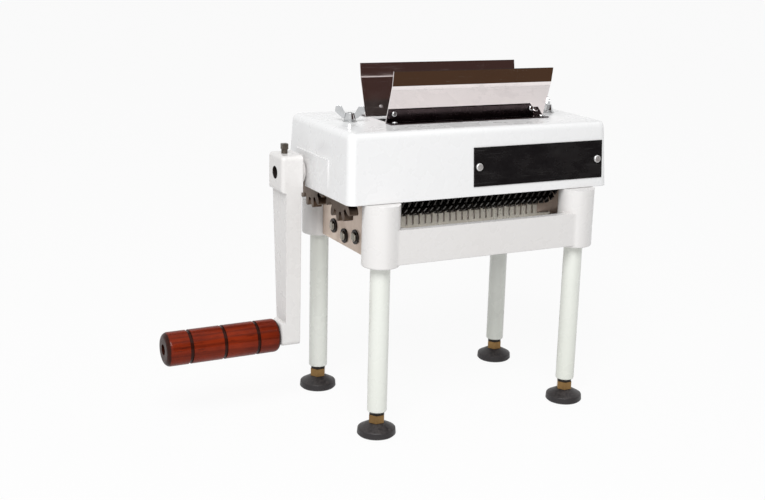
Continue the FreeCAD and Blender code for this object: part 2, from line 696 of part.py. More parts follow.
def drill_bar_ends(body):
    """Blind tapped holes in both ends of a bar between the side plates."""
    for side in (LEFT, RIGHT):
        hole = new_sketch(body, "YZ", f"{side} * plate_gap / 2")
        circle(hole, "tie_bolt_diameter / 2 + fastener_clearance")
        pocket(body, hole, "tie_bolt_depth + hole_bottom", reverse=(side == LEFT))


COMB_SCREW_HOLE = "chute_screw_diameter / 2 + fastener_clearance"
COMB_SCREW_DEPTH = "comb_bar_width * 2 / 3"


def middle_tie_bar():
    body = new_body("middle_tie_bar")
    section = new_sketch(body, "YZ")
    circle(section, "tie_bar_diameter / 2")
    pad(body, section, "plate_gap - 2 * stack_play", midplane=True)
    drill_bar_ends(body)
    place_on_plates(body, z="tie_bar_height")
    return body


def comb(label, gap_count, end):
    """Plate with a finger under each gap between two discs; every second one has a prong on its left."""
    body = new_body(label)
    base = new_sketch(body, "XZ")
    rectangle(base, "-comb_length / 2", "comb_length / 2", "comb_low", "comb_root")
    for step in (-1, 0, 1):
        circle(base, COMB_SCREW_HOLE, f"{step} * comb_screw_spacing", "comb_bar_height")
    pad(body, base, "comb_thickness", midplane=True)
    first = f"(-({gap_count} - 1) / 2 * blade_pitch - finger_width / 2)"
    second = f"({first} + blade_pitch)"
    for left, width, top, pitch, count in (
            (first, "finger_width", "finger_top", "blade_pitch", gap_count),
            (second, "prong_width", "prong_top", "2 * blade_pitch", f"floor({gap_count} / 2)")):
        finger = new_sketch(body, "XZ")
        rectangle(finger, left, f"{left} + {width}", "comb_root - 1", top)
        single = pad(body, finger, "comb_thickness", midplane=True)
        repeat(body, single, "X", pitch, count)
    place_on_plates(body, y=f"{end} * ({COMB_FACE} + comb_thickness / 2)")
    return body


def comb_screws():
    diameter = size("chute_screw_diameter")
    length = size(f"comb_thickness + {COMB_SCREW_DEPTH} - hole_bottom")
    screw = screw_shape(diameter, length, diameter * HEAD_WIDTH, diameter * HEAD_HEIGHT)
    spots = []
    for end in (FRONT, REAR):
        outward = FreeCAD.Rotation(V(0, 0, 1), V(0, end, 0))
        y = end * size(f"{COMB_FACE} + comb_thickness")
        spots += [spot(step * size("comb_screw_spacing"), y, size("comb_bar_height"), outward)
                  for step in (-1, 0, 1)]
    return group("comb_screws", screw, spots, "plate_shift")


# Bearings, shafts, gears and rollers


def bush(label, side, end):
    body = new_body(label)
    bore = "shaft_diameter / 2 + shaft_clearance"
    sleeve = new_sketch(body, "YZ")
    circle(sleeve, "bush_diameter / 2")
    circle(sleeve, bore)
    pad(body, sleeve, "plate_thickness", reverse=(side == RIGHT))
    flange = new_sketch(body, "YZ")
    circle(flange, "bush_flange_diameter / 2")
    circle(flange, bore)
    pad(body, flange, "bush_flange", reverse=(side == LEFT))
    place_on_plates(body, f"{side} * {PLATE_OUTER}", f"{end} * roller_spacing / 2", "axle_height")
    return body


def shaft(label, end):
    """Stepped shaft along X; the rear one goes on to the crank."""
    body = new_body(label)
    section = new_sketch(body, "XZ")
    thick, thin = "shaft_diameter / 2", "crank_end_diameter / 2"
    groove = f"({thick} - circlip_groove_depth)"
    left, right = f"-({GEAR_OUTER} + gear_end_overhang)", f"({CLIP_INNER} + circlip_width + shaft_overhang)"
    outline = [(right, "0"), (right, thick),
               (f"{CLIP_INNER} + circlip_width + stack_play", thick),
               (f"{CLIP_INNER} + circlip_width + stack_play", groove),
               (f"{CLIP_INNER} - stack_play", groove), (f"{CLIP_INNER} - stack_play", thick), (left, thick)]
    if end == REAR:
        tip = f"(crank_shaft_recess - {CRANK_OUTER} - plate_shift)"
        outline += [(left, thin), (tip, thin), (tip, "0")]
    else:
        outline += [(left, "0")]
    polygon(section, outline)
    revolve(body, section, "X")
    seat = new_sketch(body, "XY", f"{thick} - key_seat_depth")
    rectangle(seat, f"-{GEAR_OUTER} - stack_play", f"stack_play - {GEAR_INNER}",
              "-key_width / 2 - stack_play", "key_width / 2 + stack_play")
    pocket(body, seat, "key_seat_depth + 1", reverse=True)
    place_on_plates(body, y=f"{end} * roller_spacing / 2", z="axle_height")
    return body


CLIP_INNER = f"({BUSH_OUTER} + end_float)"


def gear_key(label, end):
    body = new_body(label)
    section = new_sketch(body, "XY", "shaft_diameter / 2 - key_seat_depth")
    rectangle(section, f"-{GEAR_OUTER}", f"-{GEAR_INNER}", "-key_width / 2", "key_width / 2")
    pad(body, section, "key_width")
    place_on_plates(body, y=f"{end} * roller_spacing / 2", z="axle_height")
    return body


def involute_flank(base, start, end, turn_by, mirror, steps=6):
    """Points of one tooth flank from one radius to another."""
    points = []
    for step in range(steps + 1):
        radius = start + (end - start) * step / steps
        roll = math.sqrt(max((radius / base) ** 2 - 1, 0))
        angle = turn_by + mirror * (roll - math.atan(roll))
        points.append(V(0, radius * math.cos(angle), radius * math.sin(angle)))
    return points


def gear_outline(phase):
    """Closed wire of the gear's teeth in the YZ plane."""
    teeth, module = int(round(size("gear_teeth"))), size("gear_module")
    pitch, pressure = teeth * module / 2, math.radians(20)
    base, tip, root = pitch * math.cos(pressure), pitch + module, pitch - 1.25 * module
    half_tooth = math.pi / (2 * teeth) - size("gear_backlash") / (4 * pitch)
    flank_turn = half_tooth + math.tan(pressure) - pressure
    edges = []
    for tooth in range(teeth):
        middle = 2 * math.pi * (tooth + phase) / teeth
        rise = involute_flank(base, max(base, root), tip, middle - flank_turn, 1)
        fall = involute_flank(base, max(base, root), tip, middle + flank_turn, -1)[::-1]
        after = 2 * math.pi * (tooth + 1 + phase) / teeth - flank_turn
        feet = [V(0, root * math.cos(angle), root * math.sin(angle))
                for angle in (middle - flank_turn, middle + flank_turn, after)]
        edges += [Part.makeLine(feet[0], rise[0]), Part.BSplineCurve(rise).toShape()]
        edges += [Part.makeLine(rise[-1], fall[0]), Part.BSplineCurve(fall).toShape()]
        edges += [Part.makeLine(fall[-1], feet[1]), Part.makeLine(feet[1], feet[2])]
    return Part.Wire(edges)


def gear(label, end, phase):
    """Spur gear with a hub towards its side plate and a keyway at the top of its bore."""
    width, offset = size("gear_width"), size("gear_offset")
    solid = Part.Face(gear_outline(phase)).extrude(V(width, 0, 0))
    hub_length = offset - size("bush_flange + end_float")
    axis = V(1, 0, 0)
    solid = solid.fuse(Part.makeCylinder(size("gear_hub_diameter / 2"), hub_length, V(width, 0, 0), axis))
    bore = size("shaft_diameter / 2 + shaft_clearance")
    solid = solid.cut(Part.makeCylinder(bore, width + hub_length, V(0, 0, 0), axis))
    key_half, key_top = size("key_width / 2 + stack_play"), size(f"{KEY_TOP} + key_clearance")
    solid = solid.cut(Part.makeBox(width, 2 * key_half, key_top, V(0, -key_half, 0)))
    feature = doc.addObject("Part::Feature", "Gear_" + label)
    feature.Label = label
    feature.Shape = solid.removeSplitter()
    place_on_plates(feature, f"-{GEAR_OUTER}", f"{end} * roller_spacing / 2", "axle_height")
    return feature


KEY_TOP = "(shaft_diameter / 2 - key_seat_depth + key_width)"


def blades(label, count, end):
    """Row of thin toothed discs on a shaft."""
    body = new_body(label)
    disc = new_sketch(body, "YZ", f"-({count} - 1) / 2 * blade_pitch")
    circle(disc, "blade_diameter / 2")
    circle(disc, "shaft_diameter / 2 + shaft_clearance")
    pad(body, disc, "blade_thickness", midplane=True)
    notch = new_sketch(body, "YZ", f"-({count} - 1) / 2 * blade_pitch")
    outside, inside = "blade_diameter / 2 + 1", "blade_diameter / 2 - blade_notch_depth"
    polygon(notch, [("-blade_notch_width / 2", outside), ("-blade_notch_width / 4", inside),
                    ("blade_notch_width / 4", inside), ("blade_notch_width / 2", outside)])
    single = pocket(body, notch, "blade_thickness + 1", midplane=True)
    round_about(body, single, "X", "blade_teeth")
    repeat(body, None, "X", "blade_pitch", count)
    place_on_plates(body, y=f"{end} * roller_spacing / 2", z="axle_height")
    return body


def spacers(label, count, end):
    """Rings between the discs and a long ring at each end of the row."""
    body = new_body(label)
    bore = "shaft_diameter / 2 + shaft_clearance"
    ring = new_sketch(body, "YZ", f"-({count} - 2) / 2 * blade_pitch")
    circle(ring, "spacer_diameter / 2")
    circle(ring, bore)
    single = pad(body, ring, "blade_pitch - blade_thickness - 2 * stack_play", midplane=True)
    repeat(body, single, "X", "blade_pitch", f"{count} - 1")
    last = f"(({count} - 1) / 2 * blade_pitch + blade_thickness / 2 + stack_play)"
    for side in (LEFT, RIGHT):
        collar = new_sketch(body, "YZ", f"{side} * {last}")
        circle(collar, "spacer_diameter / 2")
        circle(collar, bore)
        pad(body, collar, f"{PLATE_INNER} - end_float - {last}", reverse=(side == LEFT))
    place_on_plates(body, y=f"{end} * roller_spacing / 2", z="axle_height")
    return body


def circlip(label, end):
    """Open retaining ring in the groove at the shaft's right end."""
    inner = size("shaft_diameter / 2 - circlip_groove_depth + shaft_clearance")
    outer, width = size("circlip_diameter / 2"), size("circlip_width")
    opening = size("circlip_opening")
    ring = Part.makeCylinder(outer, width, V(0, 0, 0), V(0, 0, 1), 360 - opening)
    ring = ring.cut(Part.makeCylinder(inner, width))
    ring.rotate(V(0, 0, 0), V(0, 0, 1), opening / 2)
    ring.rotate(V(0, 0, 0), V(0, 1, 0), 90)
    feature = doc.addObject("Part::Feature", "Clip_" + label)
    feature.Label = label
    feature.Shape = ring
    place_on_plates(feature, CLIP_INNER, f"{end} * roller_spacing / 2", "axle_height")
    return feature


# Crank


def crank_arm():
    """Cast arm with a square boss and a round hub on the shaft, and a boss for the grip's spindle."""
    body = new_body("crank_arm")
    half_width, half_height = "crank_boss_width / 2", "crank_boss_height / 2"
    end_half, end_middle = "crank_end_width / 2", "(crank_end_rise - crank_throw)"
    end_low, end_high = f"{end_middle} - crank_end_height / 2", f"{end_middle} + crank_end_height / 2"
    arm = new_sketch(body, "YZ", "-crank_arm_inset")
    arm_top = f"crank_arm_root - {half_height}"
    polygon(arm, [(f"-{half_width}", arm_top), (half_width, arm_top),
                  (f"{end_half} - crank_set", end_middle), (f"-{end_half} - crank_set", end_middle)])
    pad(body, arm, "crank_arm_depth", reverse=True)
    boss = new_sketch(body, "YZ")
    rectangle(boss, f"-{half_width}", half_width, f"-{half_height}", half_height)
    pad(body, boss, "crank_boss_depth", reverse=True)
    lower_end = new_sketch(body, "YZ", "-crank_arm_inset")
    rectangle(lower_end, f"-{end_half} - crank_set", f"{end_half} - crank_set", end_low, end_high)
    pad(body, lower_end, "crank_boss_depth - crank_arm_inset", reverse=True)
    round_crank(body, size(end_low), size(half_height))
    hub = new_sketch(body, "YZ")
    circle(hub, "crank_hub_diameter / 2")
    pad(body, hub, CRANK_HUB)
    bores = new_sketch(body, "YZ", CRANK_HUB)
    circle(bores, "crank_end_diameter / 2 + shaft_clearance")
    circle(bores, "spindle_diameter / 2 + shaft_clearance", "-crank_set", "-crank_throw")
    pocket(body, bores, f"{CRANK_HUB} + crank_boss_depth + 1")
    clamp = new_sketch(body, "XY")
    circle(clamp, "clamp_screw_diameter / 2 + fastener_clearance", "-clamp_screw_reach")
    pocket(body, clamp, "crank_boss_height", reverse=True)
    place(body, f"-{CRANK_INNER}", "roller_spacing / 2", "axle_height")
    return body


CRANK_HUB = "(crank_gap - pad_proud - crank_hub_gap)"


def round_crank(body, low, high):
    """Round the outer edges of both bosses."""
    outer_face = -size("crank_boss_depth")
    round_edges(body, "crank_round + 1", lambda edge: along(edge, V(1, 0, 0))
                and (near(edge.BoundBox.ZMin, low) or near(edge.BoundBox.ZMin, high)))
    round_edges(body, "crank_round", lambda edge: near(edge.BoundBox.XMin, outer_face)
                and near(edge.BoundBox.XMax, outer_face))


def crank_clamp_screw():
    """Square-headed screw that bears on the shaft through the top of the boss."""
    body = new_body("crank_clamp_screw")
    shank = new_sketch(body, "XY", "crank_end_diameter / 2 + stack_play")
    circle(shank, "clamp_screw_diameter / 2")
    head_low = "(crank_boss_height / 2 + clamp_neck)"
    pad(body, shank, f"{head_low} - crank_end_diameter / 2")
    head = new_sketch(body, "XY", head_low)
    half = "clamp_head_width / 2"
    rectangle(head, f"-{half}", half, f"-{half}", half)
    pad(body, head, "clamp_head_height")
    round_edges(body, "clamp_head_round", lambda edge: along(edge, V(0, 0, 1)))
    place(body, f"-({CRANK_INNER} + clamp_screw_reach)", "roller_spacing / 2", "axle_height")
    return body


def grip_spindle():
    body = new_body("grip_spindle")
    section = new_sketch(body, "XZ")
    shank, head = "spindle_diameter / 2", "spindle_head_diameter / 2"
    inner = "-(crank_arm_inset + spindle_sink)"
    outer = "-(crank_boss_depth + grip_gap + grip_length - spindle_head_sink)"
    neck = f"{outer} + spindle_head_height"
    polygon(section, [(inner, "0"), (inner, shank), (neck, shank), (neck, head), (outer, head), (outer, "0")])
    revolve(body, section, "X")
    place(body, f"-{CRANK_INNER}", GRIP_Y, GRIP_Z)
    return body


def crank_grip():
    """Turned wooden grip with three grooves, a through bore and a recess for the spindle's head."""
    body = new_body("crank_grip")
    section = new_sketch(body, "XZ")
    bore, recess = "spindle_diameter / 2 + spindle_clearance", "spindle_head_diameter / 2 + spindle_head_room"
    recess_depth = "(spindle_head_height + spindle_head_sink + stack_play)"
    polygon(section, [("0", bore), ("0", "grip_diameter / 2"), ("-grip_length", "grip_diameter / 2"),
                      ("-grip_length", recess), (f"{recess_depth} - grip_length", recess),
                      (f"{recess_depth} - grip_length", bore)])
    revolve(body, section, "X")
    outer = size("grip_diameter / 2")
    round_edges(body, "grip_end_round", lambda edge: edge.Curve.TypeId == "Part::GeomCircle"
                and near(edge.Curve.Radius, outer))
    cut_grip_grooves(body)
    place(body, f"-({CRANK_OUTER} + grip_gap)", GRIP_Y, GRIP_Z)
    return body


def cut_grip_grooves(body):
    """Three turned grooves, as rings cut from the outside."""
    for step in (-1, 0, 1):
        middle = f"({step} * grip_groove_spacing - grip_length / 2)"
        groove = new_sketch(body, "YZ", f"{middle} - grip_groove_width / 2")
        circle(groove, "grip_diameter / 2 + 1")
        circle(groove, "grip_diameter / 2 - grip_groove_depth")
        pocket(body, groove, "grip_groove_width", reverse=True)


GRIP_Y = "(roller_spacing / 2 - crank_set)"
GRIP_Z = "(axle_height - crank_throw)"


# Hood and what is fastened to it


def hood():
    """Tapered cover, open below, with the feed mouth in its top and a slot for the driving shaft."""
    body = new_body("hood")
    rounded_block(body, "0")
    core = new_body("hood_core")
    rounded_block(core, "hood_wall")
    hollow = body.newObject("PartDesign::Boolean", "Hollow")
    hollow.Type = "Cut"
    hollow.setObjects([core])
    finish_feature(body, hollow)
    pad_on_wall(body)
    mouth = new_sketch(body, "XY", "hood_height")
    left, right = "chute_shift - mouth_length / 2", "chute_shift + mouth_length / 2"
    rectangle(mouth, left, right, "-mouth_width / 2", "mouth_width / 2")
    for side in (LEFT, RIGHT):
        circle(mouth, "stud_diameter / 2 + stud_hole_clearance", f"plate_shift + {side} * {PLATE_MIDDLE}")
    for x, y in foot_screw_points():
        circle(mouth, f"{SCREW_RADIUS} + fastener_clearance", x, y)
    pocket(body, mouth, "2 * hood_wall")
    cut_shaft_slot(body)
    place(body, z="hood_bottom")
    return body


def rounded_block(body, inset):
    """Block that narrows from the rim to the top both ways, rounded; drawn in by an inset."""
    height = f"(hood_height - {inset})"
    half = {}
    for way in ("length", "width"):
        low, top = f"hood_{way} / 2", f"hood_top_{way} / 2"
        half[way] = (f"({low} - {inset})", f"({top} - {inset} + ({low} - {top}) * {inset} / hood_height)")
    low, high = half["width"]
    section = new_sketch(body, "YZ")
    polygon(section, [(f"-{low}", "0"), (low, "0"), (high, height), (f"-{high}", height)])
    low, high = half["length"]
    pad(body, section, f"2 * {low}", midplane=True)
    ends = new_sketch(body, "XZ")
    for side in (LEFT, RIGHT):
        polygon(ends, [(f"{side} * {low}", "0"), (f"{side} * ({low} + 1)", "0"),
                       (f"{side} * ({low} + 1)", height), (f"{side} * {high}", height)])
    pocket(body, ends, "hood_width + 2", midplane=True)
    top = size(height)
    round_edges(body, f"hood_corner_round - {inset}", lambda edge: edge.BoundBox.ZLength > top / 2)
    round_edges(body, f"hood_top_round - {inset}", lambda edge: near(edge.BoundBox.ZMin, top))


def pad_on_wall(body):
    """Low raised pad on the left wall round the driving shaft."""
    outline = new_sketch(body, "YZ", "-hood_length / 2 - pad_proud")
    rectangle(outline, "pad_centre - pad_width / 2", "pad_centre + pad_width / 2", "0", "pad_height")
    pad(body, outline, "pad_proud + pad_root")


def cut_shaft_slot(body):
    """Slot from the rim up to the driving shaft, round at its upper end."""
    radius = "(crank_end_diameter / 2 + slot_clearance)"
    middle, height = "roller_spacing / 2", "(axle_height - hood_bottom)"
    depth = "hood_length / 2 - (hood_top_length / 2 - 2 * hood_wall)"
    slot = new_sketch(body, "YZ", "-hood_length / 2 - pad_proud - 1")
    rectangle(slot, f"{middle} - {radius}", f"{middle} + {radius}", "-1", height)
    pocket(body, slot, depth, reverse=True)
    crown = new_sketch(body, "YZ", "-hood_length / 2 - pad_proud - 1")
    circle(crown, radius, middle, height)
    pocket(body, crown, depth, reverse=True)


def name_plate():
    """Blank plate on the sloping front wall."""
    body = new_body("name_plate")
    face = new_sketch(body, "XZ")
    half_length, half_height = "name_plate_length / 2", "name_plate_height / 2"
    rectangle(face, f"-{half_length}", half_length, f"-{half_height}", half_height)
    for side in (LEFT, RIGHT):
        x = f"{side} * ({half_length} - rivet_inset)"
        circle(face, "rivet_head_diameter / 4 + fastener_clearance", x)
    pad(body, face, "name_plate_thickness")
    lean_on_front(body)
    return body


def lean_on_front(piece):
    """Lay a piece on the sloping front wall at the name plate's middle."""
    rise = "name_plate_rise"
    front = f"-(hood_width / 2 - {rise} * tan({HOOD_SLOPE}))"
    turn(piece, V(1, 0, 0), f"-{HOOD_SLOPE}")
    place(piece, "name_plate_shift", front, f"hood_bottom + {rise}")


def name_plate_rivets():
    head = size("rivet_head_diameter")
    rivet = screw_shape(head / 2, size("name_plate_thickness"), head, head / 5)
    forward = FreeCAD.Rotation(V(0, 0, 1), V(0, -1, 0))
    x, y = size("name_plate_length / 2 - rivet_inset"), -size("name_plate_thickness")
    feature = group("name_plate_rivets", rivet, [spot(side * x, y, 0, forward) for side in (LEFT, RIGHT)])
    lean_on_front(feature)
    return feature


def chute_turn(piece, end):
    """The rear half of the chute is the front half turned round."""
    turn(piece, V(0, 0, 1), "0" if end == FRONT else "180")
    place(piece, "chute_shift", f"{end} * chute_spacing / 2", HOOD_TOP)


def sloped(up, out):
    """Point of the front half's section: so far up its slope and so far out from its inner face."""
    y = f"-(({up}) * sin(chute_lean) + ({out}) * cos(chute_lean))"
    z = f"(({up}) * cos(chute_lean) - ({out}) * sin(chute_lean))"
    return y, z


def chute_plate(label, end):
    """Leaning plate with a slightly folded lip along its top."""
    body = new_body(label)
    section = new_sketch(body, "YZ")
    fold = "(chute_slant_height - chute_lip)"
    lip_out = "(chute_lip * tan(chute_lip_turn))"
    polygon(section, [sloped("chute_foot_gap", "0"), sloped(fold, "0"),
                      sloped("chute_slant_height", f"-{lip_out}"),
                      sloped("chute_slant_height", f"chute_thickness - {lip_out}"),
                      sloped(fold, "chute_thickness"), sloped("chute_foot_gap", "chute_thickness")])
    pad(body, section, "chute_length", midplane=True)
    drill_slope(body)
    chute_turn(body, end)
    return body


def chute_angle(label, end):
    """Bent strip: a flat leg on the hood and a shorter leaning leg outside the chute plate."""
    body = new_body(label)
    inner = "(chute_thickness + stack_play)"
    outer = f"({inner} + angle_thickness)"
    foot_end = f"-({inner} / cos(chute_lean) + angle_foot)"
    foot = new_sketch(body, "YZ")
    rectangle(foot, foot_end, f"-{outer} / cos(chute_lean)", "0", "angle_thickness")
    pad(body, foot, "chute_length", midplane=True)
    upright = new_sketch(body, "YZ", "-chute_length / 2")
    polygon(upright, [(f"-{inner} / cos(chute_lean)", "0"), sloped("angle_upright", inner),
                      sloped("angle_upright", outer), (f"-{outer} / cos(chute_lean)", "0")])
    pad(body, upright, "chute_length - angle_upright_setback")
    corner = new_sketch(body, "XZ")
    top = "(angle_upright * cos(chute_lean))"
    polygon(corner, [(f"{UPRIGHT_END} - angle_bevel", top), (f"{UPRIGHT_END} + 1", "angle_thickness"),
                     (f"{UPRIGHT_END} + 1", top)])
    pocket(body, corner, SLOPE_CUT, midplane=True)
    drill_slope(body)
    holes = new_sketch(body, "XY")
    for side in (LEFT, RIGHT):
        x, y = f"{side} * {FOOT_SCREW_X}", f"-{FOOT_SCREW_OUT}"
        circle(holes, f"{SCREW_RADIUS} + fastener_clearance", x, y)
    pocket(body, holes, "angle_thickness + 1", reverse=True)
    chute_turn(body, end)
    return body


FOOT_SCREW_X = "(chute_length / 2 - chute_screw_inset)"
FOOT_SCREW_OUT = "(chute_thickness + angle_foot * 0.6)"
UPRIGHT_END = "(chute_length / 2 - angle_upright_setback)"
SLOPE_SCREW_XS = ("(chute_screw_inset - chute_length / 2)", f"({UPRIGHT_END} - chute_screw_inset)")
SLOPE_SCREW_UP = "(angle_upright * 2 / 3)"
SLOPE_CUT = "2 * (chute_spacing + chute_slant_height)"


def foot_screw_points():
    """The hood's four holes for the screws of the flat legs."""
    for end in (FRONT, REAR):
        for side in (LEFT, RIGHT):
            yield f"chute_shift + {side} * {FOOT_SCREW_X}", f"{end} * (chute_spacing / 2 + {FOOT_SCREW_OUT})"


def drill_slope(body):
    """Two level holes through a leaning plate or leg."""
    holes = new_sketch(body, "XZ")
    for x in SLOPE_SCREW_XS:
        circle(holes, f"{SCREW_RADIUS} + 2 * fastener_clearance", x, f"{SLOPE_SCREW_UP} * cos(chute_lean)")
    pocket(body, holes, SLOPE_CUT, midplane=True)


def chute_screws():
    """Screws down through the flat legs into the hood, and through the leaning legs into the plates."""
    diameter, length = size("chute_screw_diameter"), size("chute_screw_length")
    head = diameter * HEAD_WIDTH
    screw = screw_shape(diameter, length, head, diameter * HEAD_HEIGHT)
    top = size(f"{HOOD_TOP} + angle_thickness")
    spots = [spot(size(x), size(y), top) for x, y in foot_screw_points()]
    lean = math.radians(size("chute_lean"))
    face = size("chute_thickness + stack_play + angle_thickness") / math.cos(lean)
    up = size(SLOPE_SCREW_UP) * math.cos(lean)
    for end in (FRONT, REAR):
        outward = FreeCAD.Rotation(V(0, 0, 1), V(0, end, 0))
        head_out = face + (up + head / 2) * math.tan(lean)
        y = end * (size("chute_spacing / 2") + head_out)
        for x in SLOPE_SCREW_XS:
            spots.append(spot(size("chute_shift") - end * size(x), y, size(HOOD_TOP) + up, outward))
    return group("chute_screws", screw, spots)


def hood_studs():
    radius = size("stud_diameter / 2")
    low = size(f"{PLATE_TOP} - stud_depth")
    high = size(f"{HOOD_TOP} + hood_washer_thickness + wing_hub_height - stud_above_nut")
    stud = Part.makeCylinder(radius, high - low)
    stud = stud.makeChamfer(radius / 5, [edge for edge in stud.Edges if near(edge.BoundBox.ZMin, high - low)])
    x = size(PLATE_MIDDLE)
    return group("hood_studs", stud, [spot(side * x, 0, low) for side in (LEFT, RIGHT)], "plate_shift")


def hood_washers():
    thickness = size("hood_washer_thickness")
    ring = Part.makeCylinder(size("hood_washer_diameter / 2"), thickness)
    ring = ring.cut(Part.makeCylinder(size("stud_diameter / 2 + stud_hole_clearance / 2"), thickness))
    x, z = size(PLATE_MIDDLE), size(HOOD_TOP)
    return group("hood_washers", ring, [spot(side * x, 0, z) for side in (LEFT, RIGHT)], "plate_shift")


def wing_nut(label, side, angle):
    """Hub with two raised wings."""
    body = new_body(label)
    hub = new_sketch(body, "XZ")
    bore, base = "stud_diameter / 2 + thread_clearance", "wing_base_diameter / 2"
    polygon(hub, [(bore, "0"), (base, "0"), (base, "wing_base_height"),
                  (f"{base} - wing_hub_taper", "wing_hub_height"), (bore, "wing_hub_height")])
    revolve(body, hub, "Z")
    for wing_side in (LEFT, RIGHT):
        wing = new_sketch(body, "XZ")
        root, tip = f"{wing_side} * ({base} - wing_thickness)", f"{wing_side} * wing_span / 2"
        polygon(wing, [(root, "wing_lift"), (f"{wing_side} * ({base} + wing_base_height)", "wing_lift + 1"),
                       (tip, "wing_height - wing_tip"),
                       (f"{wing_side} * (wing_span / 2 - 1)", "wing_height"),
                       (f"{wing_side} * (wing_span / 2 - 1 - wing_tip)", "wing_height"),
                       (f"{wing_side} * ({base} - 1)", "wing_hub_height"), (root, "wing_hub_height - 1")])
        pad(body, wing, "wing_thickness", midplane=True)
    limit = size("wing_span / 2 - wing_tip - 2")
    round_edges(body, "wing_round",
                lambda edge: along(edge, V(0, 1, 0)) and abs(edge.BoundBox.Center.x) > limit)
    turn(body, V(0, 0, 1), angle)
    place_on_plates(body, f"{side} * {PLATE_MIDDLE}", z=f"{HOOD_TOP} + hood_washer_thickness")
    return body


def build_pieces():
    """Every piece of the machine."""
    pieces = []
    for end, end_name in ((FRONT, "front"), (REAR, "rear")):
        for side, side_name in ((LEFT, "left"), (RIGHT, "right")):
            corner = f"{end_name}_{side_name}"
            pieces.append(leg(f"{corner}_leg", side, end))
            pieces.append(foot_pad(f"{corner}_foot", side, end))
            pieces.append(foot_stem(f"{corner}_foot_stem", side, end))
            pieces.append(bush(f"{corner}_bush", side, end))
    pieces += [leg_inserts(), jam_nuts(), leg_set_screws()]
    pieces.append(casting("front_casting", FRONT, "hood_bottom - seat_gap - rail_top"))
    pieces.append(casting("rear_casting", REAR))
    pieces += [side_plate("left_side_plate", LEFT), side_plate("right_side_plate", RIGHT)]
    pieces += [frame_screws(), tie_bolts(), tie_washers(), middle_tie_bar(), comb_screws()]
    for end, name, discs, phase in ((FRONT, "front", "blade_count", 0),
                                    (REAR, "rear", "(blade_count - 1)", 0.5)):
        pieces.append(comb_bar(f"{name}_comb_bar", end))
        pieces.append(comb(f"{name}_comb", f"({discs} - 1)", end))
        pieces.append(shaft(f"{name}_shaft", end))
        pieces.append(gear(f"{name}_gear", end, phase))
        pieces.append(gear_key(f"{name}_gear_key", end))
        pieces.append(blades(f"{name}_blades", discs, end))
        pieces.append(spacers(f"{name}_spacers", discs, end))
        pieces.append(circlip(f"{name}_circlip", end))
        pieces.append(chute_plate(f"{name}_chute_plate", end))
        pieces.append(chute_angle(f"{name}_chute_angle", end))
    pieces += [crank_arm(), crank_clamp_screw(), grip_spindle(), crank_grip()]
    pieces += [hood(), name_plate(), name_plate_rivets(), chute_screws(), hood_studs(), hood_washers()]
    pieces += [wing_nut("left_wing_nut", LEFT, "-30"), wing_nut("right_wing_nut", RIGHT, "60")]
    return pieces


def check_document():
    """Stop if any object of the document failed."""
    for item in doc.Objects:
        if "Invalid" in item.State or "Error" in item.State:
            raise ValueError(f"{item.Label} failed: {item.State}")


def write_pieces(pieces):
    os.makedirs("parts", exist_ok=True)
    for piece in pieces:
        if piece.Shape.isNull() or not piece.Shape.isValid():
            raise ValueError(f"{piece.Label} has no valid shape")
    for piece in pieces:
        piece.Shape.exportStep(f"parts/{piece.Label}.step")
        shape, box = piece.Shape, piece.Shape.BoundBox
        print(f"{piece.Label}: {len(shape.Solids)} solids, {shape.Volume:.0f} mm3, "
              f"x {box.XMin:.1f} {box.XMax:.1f} y {box.YMin:.1f} {box.YMax:.1f} "
              f"z {box.ZMin:.1f} {box.ZMax:.1f}")


all_pieces = build_pieces()
doc.recompute()
check_document()
write_pieces(all_pieces)
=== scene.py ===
import json
import math

import bpy
from mathutils import Matrix, Vector


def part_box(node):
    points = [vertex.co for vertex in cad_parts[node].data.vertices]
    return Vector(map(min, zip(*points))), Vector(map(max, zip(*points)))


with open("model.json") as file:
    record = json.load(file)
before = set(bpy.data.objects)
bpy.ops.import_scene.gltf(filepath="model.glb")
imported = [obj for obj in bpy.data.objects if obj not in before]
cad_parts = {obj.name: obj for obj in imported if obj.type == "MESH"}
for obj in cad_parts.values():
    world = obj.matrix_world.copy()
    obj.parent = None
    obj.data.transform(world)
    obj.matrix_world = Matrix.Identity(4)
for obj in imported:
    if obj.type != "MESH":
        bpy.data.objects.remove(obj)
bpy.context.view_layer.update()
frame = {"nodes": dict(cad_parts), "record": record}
nodes = frame["nodes"]

# Sockets of Blender's Mix node when it mixes colours
MIX_FACTOR, MIX_A, MIX_B, MIX_RESULT = 0, 6, 7, 2

# Radii in metres over which painted, bare and rubber edges are rounded; painted edges also wear, and bare
# metal edges take a painted highlight
PAINTED_EDGE, FINE_EDGE, RUBBER_EDGE = 0.0012, 0.0004, 0.0006

# Colours of what shows under the paint, of the painted shade inside a bored hole, and of the painted shade
# in a corner, tinted like grime
BARE_IRON, BORE_SHADE, CORNER_SHADE_TINT = (0.33, 0.31, 0.29), (0.02, 0.016, 0.014), (0.5, 0.43, 0.38)
CRANK_BORE_RADIUS, BORE_BLEND = 0.0081, 0.0005

# Thread pitches of the M12 foot stems and of the small screws
STEM_PITCH, SCREW_PITCH = 0.00175, 0.001

# A wave texture at scale 1 repeats every 0.314 of a unit
WAVE_LENGTH = 0.314


